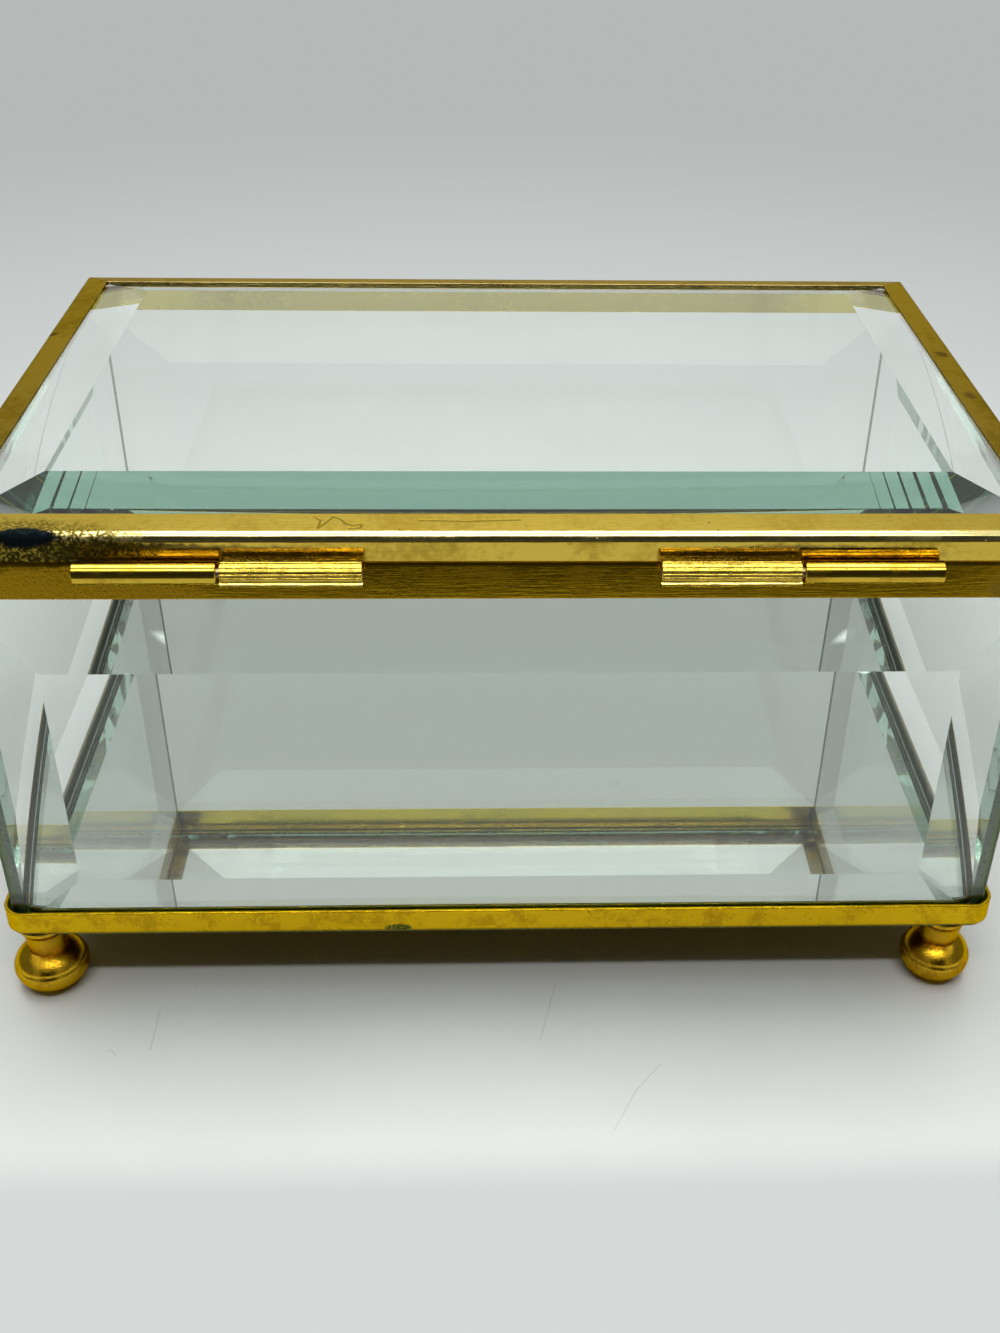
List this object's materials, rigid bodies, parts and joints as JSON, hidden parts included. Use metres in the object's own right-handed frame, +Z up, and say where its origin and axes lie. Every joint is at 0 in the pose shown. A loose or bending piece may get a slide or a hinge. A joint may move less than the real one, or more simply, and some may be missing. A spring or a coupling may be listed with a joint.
{
  "type": "glass casket box",
  "caption": "Rectangular keepsake box of bevelled glass panes in a thin brass frame, with a mirrored floor, ball feet and a hinged glass lid.",
  "frame": {"origin": "middle of the footprint, on the surface that the ball feet stand on", "axes": "+X to the right along the long side, -Y is the side with the hinges, +Y is the side that opens, +Z up"},
  "size_m": [0.1689, 0.1141, 0.093],
  "materials": {
    "bevelled_glass": "polished, clear with a green edge",
    "mirror_plate": "silvered plate glass",
    "pad_card": "matt card",
    "clear_cement": "clear cement, glossy",
    "tray_brass": "polished, lightly tarnished",
    "frame_brass": "polished, tarnished with dark spots",
    "barrel_brass": "worn, partly pitted",
    "foot_brass": "polished, tarnished",
    "pin_steel": "drawn wire"
  },
  "bodies": {
    "body": {"base_tray": "tray_brass", "floor_pad": "pad_card", "mirror_floor": "mirror_plate", "rear_pane": "bevelled_glass", "front_pane": "bevelled_glass", "left_pane": "bevelled_glass", "right_pane": "bevelled_glass", "joint_rear_left": "clear_cement", "joint_rear_right": "clear_cement", "joint_front_left": "clear_cement", "joint_front_right": "clear_cement", "rim_rear": "frame_brass", "rim_front": "frame_brass", "rim_left": "frame_brass", "rim_right": "frame_brass", "rim_barrel_left": "barrel_brass", "rim_barrel_right": "barrel_brass", "hinge_pin_left": "pin_steel", "hinge_pin_right": "pin_steel", "foot_rear_left": "foot_brass", "foot_rear_right": "foot_brass", "foot_front_left": "foot_brass", "foot_front_right": "foot_brass"},
    "lid": {"lid_pane": "bevelled_glass", "lid_bead": "clear_cement", "lid_frame_rear": "frame_brass", "lid_frame_front": "frame_brass", "lid_frame_left": "frame_brass", "lid_frame_right": "frame_brass", "lid_barrel_left": "barrel_brass", "lid_barrel_right": "barrel_brass"}
  },
  "joints": [
    {"name": "lid_hinge", "type": "hinge", "parent": "body", "child": "lid", "pos_m": [0, -0.05626, 0.08555], "axis": [1, 0, 0], "range_deg": [0, 105]}
  ]
}
